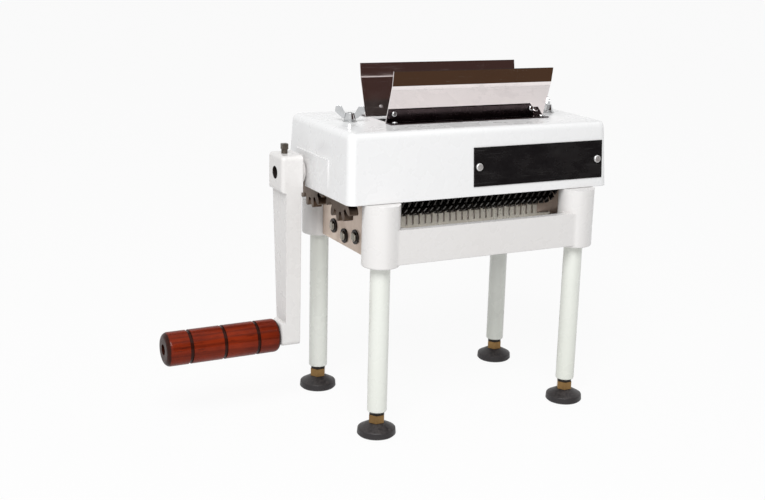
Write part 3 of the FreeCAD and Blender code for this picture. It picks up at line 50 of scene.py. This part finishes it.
class Finish:
    """A procedural material, built node by node in the object's own metres."""

    def __init__(self, name):
        self.material = bpy.data.materials.new(name)
        self.material.use_nodes = True
        self.tree = self.material.node_tree
        self.tree.nodes.clear()
        self.coords = self.add("ShaderNodeTexCoord").outputs["Object"]

    def add(self, kind, inputs=None, **settings):
        node = self.tree.nodes.new(kind)
        for key, value in settings.items():
            setattr(node, key, value)
        for key, value in (inputs or {}).items():
            self.feed(node.inputs[key], value)
        return node

    def feed(self, socket, value):
        if isinstance(value, bpy.types.NodeSocket):
            self.tree.links.new(value, socket)
        elif socket.type == "RGBA":
            socket.default_value = (*value, 1)
        else:
            socket.default_value = value

    def stretched(self, stretch):
        return self.add("ShaderNodeMapping", {"Vector": self.coords, "Scale": stretch}).outputs["Vector"]

    def noise(self, scale, detail=3, grain=0.5, stretch=(1, 1, 1), distortion=0):
        """Noise from 0 to 1 with so many waves a metre."""
        return self.add("ShaderNodeTexNoise", {
            "Vector": self.stretched(stretch), "Scale": scale, "Detail": detail, "Roughness": grain,
            "Distortion": distortion}).outputs["Fac"]

    def ranged(self, value, low, high, new_low=0, new_high=1):
        return self.add("ShaderNodeMapRange", {
            "Value": value, "From Min": low, "From Max": high, "To Min": new_low,
            "To Max": new_high}).outputs["Result"]

    def maths(self, operation, first, second=0.0):
        return self.add("ShaderNodeMath", {0: first, 1: second}, operation=operation).outputs["Value"]

    def mixed(self, factor, first, second):
        return self.add("ShaderNodeMix", {MIX_FACTOR: factor, MIX_A: first, MIX_B: second},
                        data_type="RGBA").outputs[MIX_RESULT]

    def bump(self, height, strength, distance, normal=None):
        inputs = {"Height": height, "Strength": strength, "Distance": distance}
        if normal:
            inputs["Normal"] = normal
        return self.add("ShaderNodeBump", inputs).outputs["Normal"]

    def soft_edges(self, radius):
        """Normal that rounds the edges off over a radius."""
        return self.add("ShaderNodeBevel", {"Radius": radius}, samples=6).outputs["Normal"]

    def edge_mask(self, radius, low, high):
        """From 0 on the flats to 1 along the edges."""
        flat = self.add("ShaderNodeNewGeometry").outputs["Normal"]
        turn = self.add("ShaderNodeVectorMath", {0: self.soft_edges(radius), 1: flat},
                        operation="DOT_PRODUCT").outputs["Value"]
        return self.ranged(turn, high, low)

    def occlusion_shade_mask(self, distance, low, high):
        """Ambient-occlusion mask for painted shade: from 0 in the open to 1 in corners and crevices."""
        shade = self.add("ShaderNodeAmbientOcclusion", {"Distance": distance}, samples=6).outputs["AO"]
        return self.ranged(shade, high, low)

    def axis(self, name, vector=None):
        return self.add("ShaderNodeSeparateXYZ", {"Vector": vector or self.coords}).outputs[name]

    def from_axle(self, axle):
        """Distance from a line along X through an axle's middle."""
        y = self.maths("SUBTRACT", self.axis("Y"), axle.y)
        z = self.maths("SUBTRACT", self.axis("Z"), axle.z)
        squares = self.maths("ADD", self.maths("MULTIPLY", y, y), self.maths("MULTIPLY", z, z))
        return self.maths("POWER", squares, 0.5)

    def finish(self, **inputs):
        inputs = {key.replace("_", " "): value for key, value in inputs.items()}
        shader = self.add("ShaderNodeBsdfPrincipled", inputs)
        out = self.add("ShaderNodeOutputMaterial")
        self.tree.links.new(shader.outputs["BSDF"], out.inputs["Surface"])
        return self.material


def enamel(name, colour, tinge, chips, peel=0.1, bore=None):
    """Sprayed gloss paint on cast metal: faint clouding, orange peel, painted shade in corners tinted like
    grime, worn edges, and painted shade inside a bore when one is given.
    """
    made = Finish(name)
    cloud = made.ranged(made.noise(5, detail=2), 0.3, 0.75)
    paint = made.mixed(cloud, colour, tinge)
    streaks = made.ranged(made.noise(16, detail=5, grain=0.7, stretch=(1, 1, 0.35)), 0.56, 0.8)
    # Corners found by ambient occlusion are darkened toward a grime tint: painted shade
    painted_corner_shade = made.maths("MULTIPLY", made.occlusion_shade_mask(0.012, 0.3, 0.8), made.maths("ADD", streaks, 0.3))
    corner_shaded = made.mixed(made.maths("MULTIPLY", painted_corner_shade, 0.5), paint, CORNER_SHADE_TINT)
    patches = made.ranged(made.noise(90, detail=4, grain=0.65), 0.62, 0.7)
    wear = made.maths("MULTIPLY", made.edge_mask(PAINTED_EDGE, 0.8, 0.97), patches)
    surface = made.mixed(made.maths("MULTIPLY", wear, chips), corner_shaded, BARE_IRON)
    if bore:
        axle, radius = bore
        # Inside the crank's bore the paint turns near-black: painted shade of the deep hole
        bore_shade = made.ranged(made.from_axle(axle), radius + BORE_BLEND, radius)
        surface = made.mixed(bore_shade, surface, BORE_SHADE)
    rough = made.ranged(made.noise(45, detail=3), 0.3, 0.7, 0.22, 0.34)
    skin = made.bump(made.noise(420, detail=2), peel, 0.0003, made.soft_edges(PAINTED_EDGE))
    cast = made.bump(made.noise(34, detail=1), 0.025, 0.001, skin)
    return made.finish(Base_Color=surface, Roughness=rough, Normal=cast, Coat_Weight=0.25,
                       Coat_Roughness=0.12)


def metal(name, colour, tarnish, rough=(0.25, 0.45), brush=(0.03, 1, 1), fine=900, metallic=1.0):
    """Bare metal: fine brushing along an axis, cloudy tarnish, painted shade in corners and a painted
    highlight along the edges.
    """
    made = Finish(name)
    lines = made.noise(fine, detail=4, grain=0.7, stretch=brush)
    cloud = made.ranged(made.noise(38, detail=5, grain=0.6), 0.4, 0.72)
    # Cloudy tarnish, with corners darkened by ambient occlusion: painted shade
    dirt = made.maths("MAXIMUM", made.maths("MULTIPLY", cloud, 0.5), made.occlusion_shade_mask(0.008, 0.15, 0.8))
    stained_and_shaded = made.mixed(made.maths("MULTIPLY", dirt, 0.75), colour, tarnish)
    # Edges lighter than the clean metal: a painted highlight
    edge_highlight = tuple(min(channel * 1.35, 0.95) for channel in colour)
    surface = made.mixed(made.edge_mask(FINE_EDGE, 0.75, 0.98), stained_and_shaded, edge_highlight)
    spread = made.maths("ADD", made.maths("MULTIPLY", lines, 0.5), made.maths("MULTIPLY", cloud, 0.5))
    roughness = made.ranged(spread, 0.2, 0.8, *rough)
    scratched = made.bump(lines, 0.12, 0.0002, made.soft_edges(FINE_EDGE))
    return made.finish(Base_Color=surface, Metallic=metallic, Roughness=roughness, Normal=scratched)


def threaded(name, colour, tarnish, pitch):
    """Screw thread cut round an upright stem, with painted shade in its roots."""
    made = Finish(name)
    shape = {"Vector": made.coords, "Scale": WAVE_LENGTH / pitch, "Distortion": 0.4}
    wave = made.add("ShaderNodeTexWave", shape, bands_direction="Z", wave_profile="TRI").outputs["Fac"]
    dirt = made.noise(160, detail=4)
    # The thread roots are darkened toward the tarnish colour: painted shade in the grooves
    root_shade = made.maths("MULTIPLY", made.ranged(wave, 0.5, 0.0), 0.8)
    surface = made.mixed(made.maths("MAXIMUM", root_shade, made.ranged(dirt, 0.5, 0.8)), colour, tarnish)
    rough = made.ranged(dirt, 0.3, 0.7, 0.3, 0.55)
    return made.finish(Base_Color=surface, Metallic=1.0, Roughness=rough,
                       Normal=made.bump(wave, 0.9, pitch * 0.5))


def polished_sheet(name, colour):
    """Mirror-like rolled sheet with faint rolling lines, smears and fine scratches."""
    made = Finish(name)
    rolled = made.noise(260, detail=5, grain=0.7, stretch=(0.02, 1, 1))
    smear = made.ranged(made.noise(22, detail=5, grain=0.65, stretch=(0.6, 1, 1), distortion=0.6),
                        0.46, 0.78)
    scratch = made.ranged(made.noise(1500, detail=2, stretch=(0.01, 1, 0.3)), 0.62, 0.7)
    surface = made.mixed(made.maths("MULTIPLY", smear, 0.35), colour, tuple(0.8 * c for c in colour))
    rough = made.ranged(made.maths("ADD", smear, scratch), 0, 1.4, 0.05, 0.2)
    return made.finish(Base_Color=surface, Metallic=1.0, Roughness=rough,
                       Normal=made.bump(rolled, 0.05, 0.0003))


def varnished_wood(name, low, high):
    """Stained hardwood turned about X: long grain, slow bands, soot in the grooves, thick varnish."""
    made = Finish(name)
    axle, radius = (low + high) / 2, (high.z - low.z) / 2
    sway = made.noise(9, detail=2, stretch=(0.5, 1, 1))
    y = made.maths("SUBTRACT", made.axis("Y"), axle.y)
    z = made.maths("SUBTRACT", made.axis("Z"), axle.z)
    off_heart = made.maths("ADD", made.maths("MULTIPLY", y, 0.8), made.maths("MULTIPLY", z, 0.6))
    swayed = made.maths("ADD", off_heart, made.maths("MULTIPLY", sway, 0.02))
    rings = made.maths("SINE", made.maths("MULTIPLY", swayed, 900))
    late = made.ranged(rings, -0.2, 1)
    fibre = made.noise(620, detail=5, grain=0.7, stretch=(0.035, 1, 1))
    pores = made.ranged(made.noise(1100, detail=2, stretch=(0.05, 1, 1)), 0.63, 0.7)
    mottled = made.ranged(made.noise(26, detail=4, grain=0.6, stretch=(0.7, 1, 1)), 0.35, 0.7)
    stain = made.mixed(mottled, (0.12, 0.01, 0.0025), (0.25, 0.024, 0.005))
    banded = made.mixed(made.maths("MULTIPLY", late, 0.45), stain, (0.06, 0.006, 0.003))
    fibred = made.mixed(made.ranged(fibre, 0.45, 0.75, 0, 0.5), banded, (0.24, 0.035, 0.01))
    pored = made.mixed(made.maths("MULTIPLY", pores, 0.7), fibred, (0.02, 0.004, 0.003))
    smudges = made.ranged(made.noise(95, detail=5, grain=0.7), 0.3, 0.7, -0.0003, 0.0003)
    depth = made.maths("ADD", made.from_axle(axle), smudges)
    in_groove = made.ranged(depth, radius - 0.0004, radius - 0.0011)
    at_end = made.maths("ADD", made.ranged(made.axis("X"), low.x + 0.0055, low.x + 0.0015),
                        made.ranged(made.axis("X"), high.x - 0.0025, high.x - 0.0005))
    soot = made.maths("MINIMUM", made.maths("ADD", in_groove, made.maths("MULTIPLY", at_end, 0.5)), 0.9)
    surface = made.mixed(soot, pored, (0.016, 0.006, 0.004))
    raised = made.bump(made.maths("ADD", fibre, made.maths("MULTIPLY", pores, -0.6)), 0.12, 0.0003)
    rough = made.ranged(made.noise(70), 0.3, 0.7, 0.28, 0.45)
    return made.finish(Base_Color=surface, Roughness=rough, Normal=raised, Specular_IOR_Level=0.05,
                       Coat_Weight=0.22, Coat_Roughness=0.08, Coat_IOR=1.4)


def rubber(name):
    """Moulded black rubber with dust on what faces up."""
    made = Finish(name)
    up = made.axis("Z", made.add("ShaderNodeNewGeometry").outputs["Normal"])
    flecks = made.ranged(made.noise(240, detail=5, grain=0.7), 0.42, 0.75)
    dust = made.maths("MULTIPLY", made.ranged(up, 0.1, 0.9), flecks)
    scuffs = made.ranged(made.noise(60, detail=5, grain=0.7, stretch=(1, 1, 3)), 0.6, 0.75, 0, 0.5)
    blotched = made.mixed(scuffs, (0.014, 0.011, 0.012), (0.035, 0.03, 0.03))
    surface = made.mixed(made.maths("MULTIPLY", dust, 0.4), blotched, (0.13, 0.11, 0.105))
    rough = made.ranged(flecks, 0, 1, 0.42, 0.7)
    skin = made.bump(made.noise(700, detail=3), 0.25, 0.0004, made.soft_edges(RUBBER_EDGE))
    return made.finish(Base_Color=surface, Roughness=rough, Normal=skin)


def label_face(name):
    """Blank black enamelled plate, a little hazed by wiping."""
    made = Finish(name)
    haze = made.ranged(made.noise(55, detail=5, grain=0.65, stretch=(0.5, 1, 1)), 0.4, 0.75)
    scratch = made.ranged(made.noise(900, detail=2, stretch=(0.02, 1, 0.6)), 0.64, 0.72)
    black = made.mixed(haze, (0.006, 0.006, 0.007), (0.013, 0.0125, 0.013))
    surface = made.mixed(made.maths("MULTIPLY", scratch, 0.5), black, (0.05, 0.05, 0.05))
    rough = made.ranged(haze, 0, 1, 0.2, 0.4)
    skin = made.bump(made.noise(500, detail=2), 0.05, 0.0002, made.soft_edges(FINE_EDGE))
    return made.finish(Base_Color=surface, Roughness=rough, Normal=skin, Coat_Weight=0.2,
                       Coat_Roughness=0.15)


def make_finishes():
    white, white_tinge = (0.92, 0.922, 0.925), (0.885, 0.89, 0.895)
    # The castings and crank take a darker, warmer copy of the white enamel: painted shade
    shade_dimmed_white, shade_dimmed_tinge = (0.83, 0.815, 0.805), (0.8, 0.78, 0.765)
    oil, soot = (0.06, 0.05, 0.045), (0.02, 0.017, 0.015)
    shaft_low, shaft_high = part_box("rear_shaft")
    crank_bore = ((shaft_low + shaft_high) / 2, CRANK_BORE_RADIUS)
    return {
        "white_enamel": enamel("white_enamel", white, white_tinge, 0.4),
        "shade_dimmed_casting_enamel": enamel("shade_dimmed_casting_enamel", shade_dimmed_white, shade_dimmed_tinge, 0.4),
        "shade_dimmed_crank_enamel": enamel("shade_dimmed_crank_enamel", shade_dimmed_white, shade_dimmed_tinge, 0.4, bore=crank_bore),
        "cream_leg_paint": enamel("cream_leg_paint", (0.86, 0.88, 0.83), (0.8, 0.82, 0.75), 0.8, peel=0.08),
        "grey_plate": metal("grey_plate", (0.66, 0.55, 0.47), (0.42, 0.32, 0.26), rough=(0.35, 0.55),
                            brush=(1, 1, 0.04), fine=500),
        "stainless": metal("stainless", (0.66, 0.63, 0.61), (0.2, 0.15, 0.12), rough=(0.18, 0.36)),
        "comb_steel": metal("comb_steel", (0.97, 0.93, 0.83), (0.6, 0.52, 0.42), rough=(0.25, 0.45),
                            brush=(1, 1, 0.05), fine=1400, metallic=0.5),
        # Blades and spacers are near-black: painted shade of the dark under the hood
        "shade_black_blade_steel": metal("shade_black_blade_steel", (0.05, 0.046, 0.043), soot, rough=(0.3, 0.5)),
        "chute_sheet": polished_sheet("chute_sheet", (0.86, 0.8, 0.79)),
        # The chute angles are near-black: a painted dark reflection
        "dark_reflection_chute_strip": metal("dark_reflection_chute_strip", (0.07, 0.052, 0.055), (0.03, 0.022, 0.023), rough=(0.2, 0.4)),
        "dark_stainless": metal("dark_stainless", (0.5, 0.44, 0.42), oil, rough=(0.25, 0.45)),
        # Gears are dark brown: oil, and painted shade from under the hood rim
        "gear_steel": metal("gear_steel", (0.13, 0.093, 0.068), oil, rough=(0.3, 0.5), brush=(1, 1, 1),
                            fine=300),
        "dark_steel": metal("dark_steel", (0.13, 0.11, 0.1), soot, rough=(0.3, 0.55), brush=(1, 1, 1),
                            fine=260),
        "black_oxide": metal("black_oxide", (0.035, 0.03, 0.027), soot, rough=(0.35, 0.55), brush=(1, 1, 1),
                             fine=260),
        "dull_steel": metal("dull_steel", (0.3, 0.28, 0.24), soot, rough=(0.15, 0.3), brush=(1, 1, 1),
                            fine=300),
        "zinc": metal("zinc", (0.6, 0.61, 0.62), (0.12, 0.115, 0.1), rough=(0.08, 0.24), brush=(1, 1, 1),
                      fine=420),
        "rivet_alloy": metal("rivet_alloy", (0.93, 0.93, 0.93), (0.6, 0.6, 0.6), rough=(0.4, 0.6),
                             brush=(1, 1, 1), fine=420),
        "brass": metal("brass", (0.25, 0.15, 0.06), (0.06, 0.03, 0.015), rough=(0.25, 0.45),
                       brush=(1, 1, 0.05)),
        "bronze": metal("bronze", (0.5, 0.33, 0.18), (0.16, 0.09, 0.05)),
        "stem_thread": threaded("stem_thread", (0.3, 0.25, 0.2), (0.05, 0.035, 0.03), STEM_PITCH),
        "screw_thread": threaded("screw_thread", (0.14, 0.12, 0.1), (0.03, 0.025, 0.02), SCREW_PITCH),
        "black_rubber": rubber("black_rubber"),
        "black_plate": label_face("black_plate"),
        "varnished_wood": varnished_wood("varnished_wood", *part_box("crank_grip")),
    }


def dress(finishes):
    """Give every CAD node the finish of its slot, apart from those with one of their own."""
    own = {"crank_arm": "shade_dimmed_crank_enamel", "crank_clamp_screw": "screw_thread", "hood_studs": "screw_thread",
           "tie_washers": "black_oxide", "leg_inserts": "black_oxide", "grip_spindle": "black_oxide",
           "name_plate_rivets": "rivet_alloy", "tie_bolts": "dull_steel",
           "front_casting": "shade_dimmed_casting_enamel", "rear_casting": "shade_dimmed_casting_enamel"}
    for end in ("front", "rear"):
        own.update({f"{end}_chute_plate": "chute_sheet", f"{end}_chute_angle": "dark_reflection_chute_strip",
                    f"{end}_comb": "comb_steel", f"{end}_blades": "shade_black_blade_steel",
                    # The shafts' dark finish is painted shade, where their ends sit deep in the crank's
                    # bore
                    f"{end}_spacers": "shade_black_blade_steel", f"{end}_shaft": "dark_steel"})
        for side in ("left", "right"):
            own[f"{end}_{side}_foot_stem"] = "stem_thread"
    for row in frame["record"]["subparts"]:
        name = row["node"]
        finish = finishes[own.get(name, row["material_slot"])]
        for slot in nodes[name].material_slots:
            slot.material = finish


# Photograph's camera: where it stands, how it is turned (degrees) and its lens
CAMERA_PLACE = Vector((-0.71376, -1.39919, 0.62983))
CAMERA_AZIMUTH, CAMERA_ELEVATION, CAMERA_ROLL = -30.26, 14.66, 2.22
CAMERA_LENS, CAMERA_SHIFT, CAMERA_SENSOR = 57.58, -0.0882, 36

# Floor: half its width, its colour, and how much of it glows for the camera; and the sky's light
FLOOR_REACH, FLOOR_COLOUR, FLOOR_GLOW = 40, (0.86, 0.86, 0.86), 0.93
SKY_STRENGTH = 0.38

# Key lamp: where it stands, what it points at, its width and its power in watts
KEY_PLACE, KEY_AIM, KEY_SIZE, KEY_POWER = (-1.15, -1.7, 2.35), (0.1, 0, 0.25), 1.6, 64

# Dark cards: painted reflections of a dim room for the polished parts, each by its corners and colour
DARK_CARDS = {
    "reflection_card_front": ([(0.35, -2.6, 0.0), (2.6, -1.2, 0.0), (2.6, -1.2, 2.4), (0.35, -2.6, 2.4)],
                   (0.055, 0.03, 0.026)),
    "reflection_card_floor": ([(0.1, -0.55, 0.002), (1.1, -0.45, 0.002), (2.0, -1.6, 0.002), (0.2, -2.0, 0.002)],
                   (0.075, 0.042, 0.025)),
    "reflection_card_above": ([(0.6, 0.4, 2.6), (2.6, 0.4, 2.6), (2.6, 3.0, 2.6), (0.6, 3.0, 2.6)],
                   (0.045, 0.038, 0.036)),
}


def make_camera():
    azimuth, elevation, roll = (math.radians(v) for v in (CAMERA_AZIMUTH, CAMERA_ELEVATION, CAMERA_ROLL))
    back = Vector((math.sin(azimuth) * math.cos(elevation), -math.cos(azimuth) * math.cos(elevation),
                   math.sin(elevation)))
    right = Vector((math.cos(azimuth), math.sin(azimuth), 0))
    up = back.cross(right)
    rolled_right = math.cos(roll) * right + math.sin(roll) * up
    rolled_up = math.cos(roll) * up - math.sin(roll) * right
    data = bpy.data.cameras.new("camera")
    data.lens = CAMERA_LENS
    data.sensor_width = CAMERA_SENSOR
    data.shift_x = CAMERA_SHIFT
    camera = bpy.data.objects.new("camera", data)
    turn = Matrix((rolled_right, rolled_up, back)).transposed().to_4x4()
    camera.matrix_world = Matrix.Translation(CAMERA_PLACE) @ turn
    bpy.context.scene.collection.objects.link(camera)
    bpy.context.scene.camera = camera


def flat_sheet(name, corners, material):
    mesh = bpy.data.meshes.new(name)
    mesh.from_pydata(corners, [], [range(len(corners))])
    mesh.materials.append(material)
    made = bpy.data.objects.new(name, mesh)
    bpy.context.scene.collection.objects.link(made)
    return made


def ray_mask(tree):
    """One for rays from the camera and for mirrored and transmitted ones, none for soft light."""
    path = tree.nodes.new("ShaderNodeLightPath")
    seen = path.outputs["Is Camera Ray"]
    for kind in ("Is Glossy Ray", "Is Transmission Ray"):
        most = tree.nodes.new("ShaderNodeMath")
        most.operation = "MAXIMUM"
        tree.links.new(seen, most.inputs[0])
        tree.links.new(path.outputs[kind], most.inputs[1])
        seen = most.outputs["Value"]
    return seen


def make_floor():
    """Wide pale floor that keeps the object's shadow."""
    material = bpy.data.materials.new("floor")
    material.use_nodes = True
    tree = material.node_tree
    tree.nodes.clear()
    matte = tree.nodes.new("ShaderNodeBsdfDiffuse")
    matte.inputs["Color"].default_value = (*FLOOR_COLOUR, 1)
    glow = tree.nodes.new("ShaderNodeEmission")
    glow.inputs["Strength"].default_value = 1
    share = tree.nodes.new("ShaderNodeMath")
    share.operation = "MULTIPLY"
    share.inputs[1].default_value = FLOOR_GLOW
    tree.links.new(ray_mask(tree), share.inputs[0])
    both = tree.nodes.new("ShaderNodeMixShader")
    tree.links.new(share.outputs["Value"], both.inputs["Fac"])
    tree.links.new(matte.outputs["BSDF"], both.inputs[1])
    tree.links.new(glow.outputs["Emission"], both.inputs[2])
    out = tree.nodes.new("ShaderNodeOutputMaterial")
    tree.links.new(both.outputs["Shader"], out.inputs["Surface"])
    corners = [(-FLOOR_REACH, -FLOOR_REACH, 0), (FLOOR_REACH, -FLOOR_REACH, 0),
               (FLOOR_REACH, FLOOR_REACH, 0), (-FLOOR_REACH, FLOOR_REACH, 0)]
    flat_sheet("floor", corners, material)


def make_sky():
    world = bpy.data.worlds.new("sky")
    bpy.context.scene.world = world
    world.use_nodes = True
    tree = world.node_tree
    tree.nodes.clear()
    strength = tree.nodes.new("ShaderNodeMapRange")
    strength.inputs["To Min"].default_value = SKY_STRENGTH
    strength.inputs["To Max"].default_value = 1
    tree.links.new(ray_mask(tree), strength.inputs["Value"])
    sky = tree.nodes.new("ShaderNodeBackground")
    sky.inputs["Color"].default_value = (1, 1, 1, 1)
    tree.links.new(strength.outputs["Result"], sky.inputs["Strength"])
    out = tree.nodes.new("ShaderNodeOutputWorld")
    tree.links.new(sky.outputs["Background"], out.inputs["Surface"])


def soft_lamp(name, place, aim, size, power):
    data = bpy.data.lights.new(name, "AREA")
    data.shape = "DISK"
    data.size = size
    data.energy = power
    lamp = bpy.data.objects.new(name, data)
    lamp.location = place
    lamp.rotation_euler = (Vector(aim) - Vector(place)).to_track_quat("-Z", "Y").to_euler()
    bpy.context.scene.collection.objects.link(lamp)


def dark_card(name, corners, colour):
    """Glowing sheet that only mirrored rays meet: a painted reflection of a dim room on the polished parts.
    """
    material = bpy.data.materials.new(name)
    material.use_nodes = True
    tree = material.node_tree
    tree.nodes.clear()
    glow = tree.nodes.new("ShaderNodeEmission")
    glow.inputs["Color"].default_value = (*colour, 1)
    out = tree.nodes.new("ShaderNodeOutputMaterial")
    tree.links.new(glow.outputs["Emission"], out.inputs["Surface"])
    card = flat_sheet(name, corners, material)
    card.visible_camera = False
    card.visible_diffuse = False
    card.visible_shadow = False
    card.visible_transmission = False


bpy.context.scene.view_settings.view_transform = "Standard"
make_camera()
make_floor()
make_sky()
soft_lamp("key", KEY_PLACE, KEY_AIM, KEY_SIZE, KEY_POWER)
for card_name, (card_corners, card_colour) in DARK_CARDS.items():
    dark_card(card_name, card_corners, card_colour)
dress(make_finishes())
